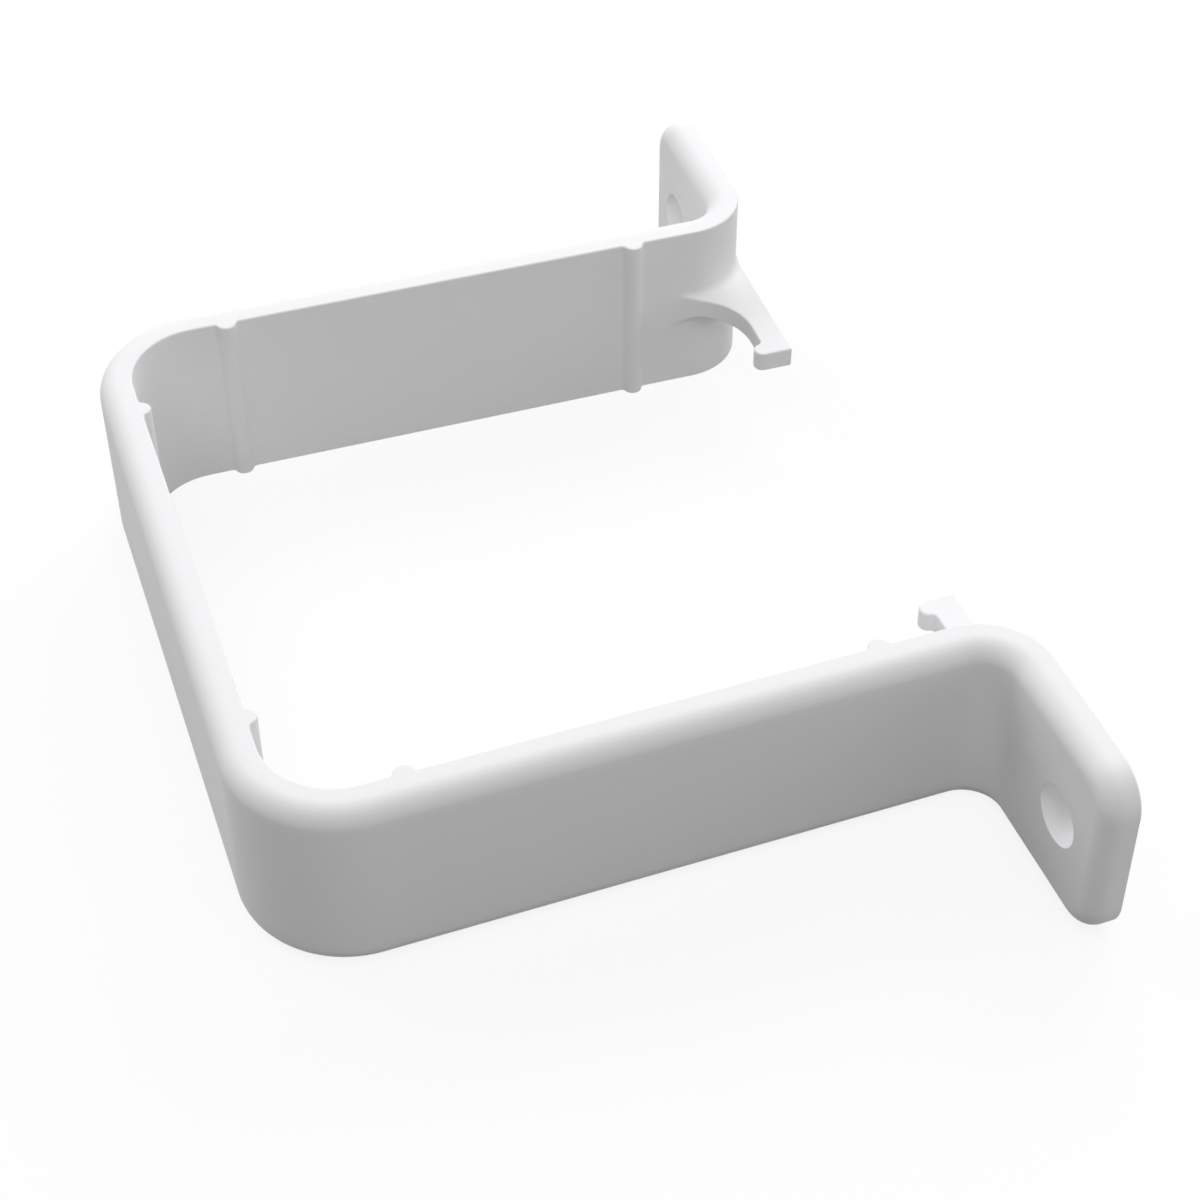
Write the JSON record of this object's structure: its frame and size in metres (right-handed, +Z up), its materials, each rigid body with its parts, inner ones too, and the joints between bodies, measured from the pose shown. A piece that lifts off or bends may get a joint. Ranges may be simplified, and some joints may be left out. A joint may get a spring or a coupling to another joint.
{
  "type": "downpipe clip",
  "caption": "White moulded plastic band clip that holds a square downpipe to a wall: beaded U-shaped band with screw ears and thin hooks behind the pipe.",
  "frame": {"origin": "on the wall plane that the ear tips touch, midway between the two screw holes, at half the band's height", "axes": "+X along the wall, +Y into the wall, +Z up along the pipe"},
  "size_m": [0.1142, 0.0748, 0.02],
  "materials": {
    "white_upvc": "smooth satin white moulded PVC-U"
  },
  "bodies": {
    "root": {"downpipe_clip": "white_upvc"}
  },
  "joints": []
}
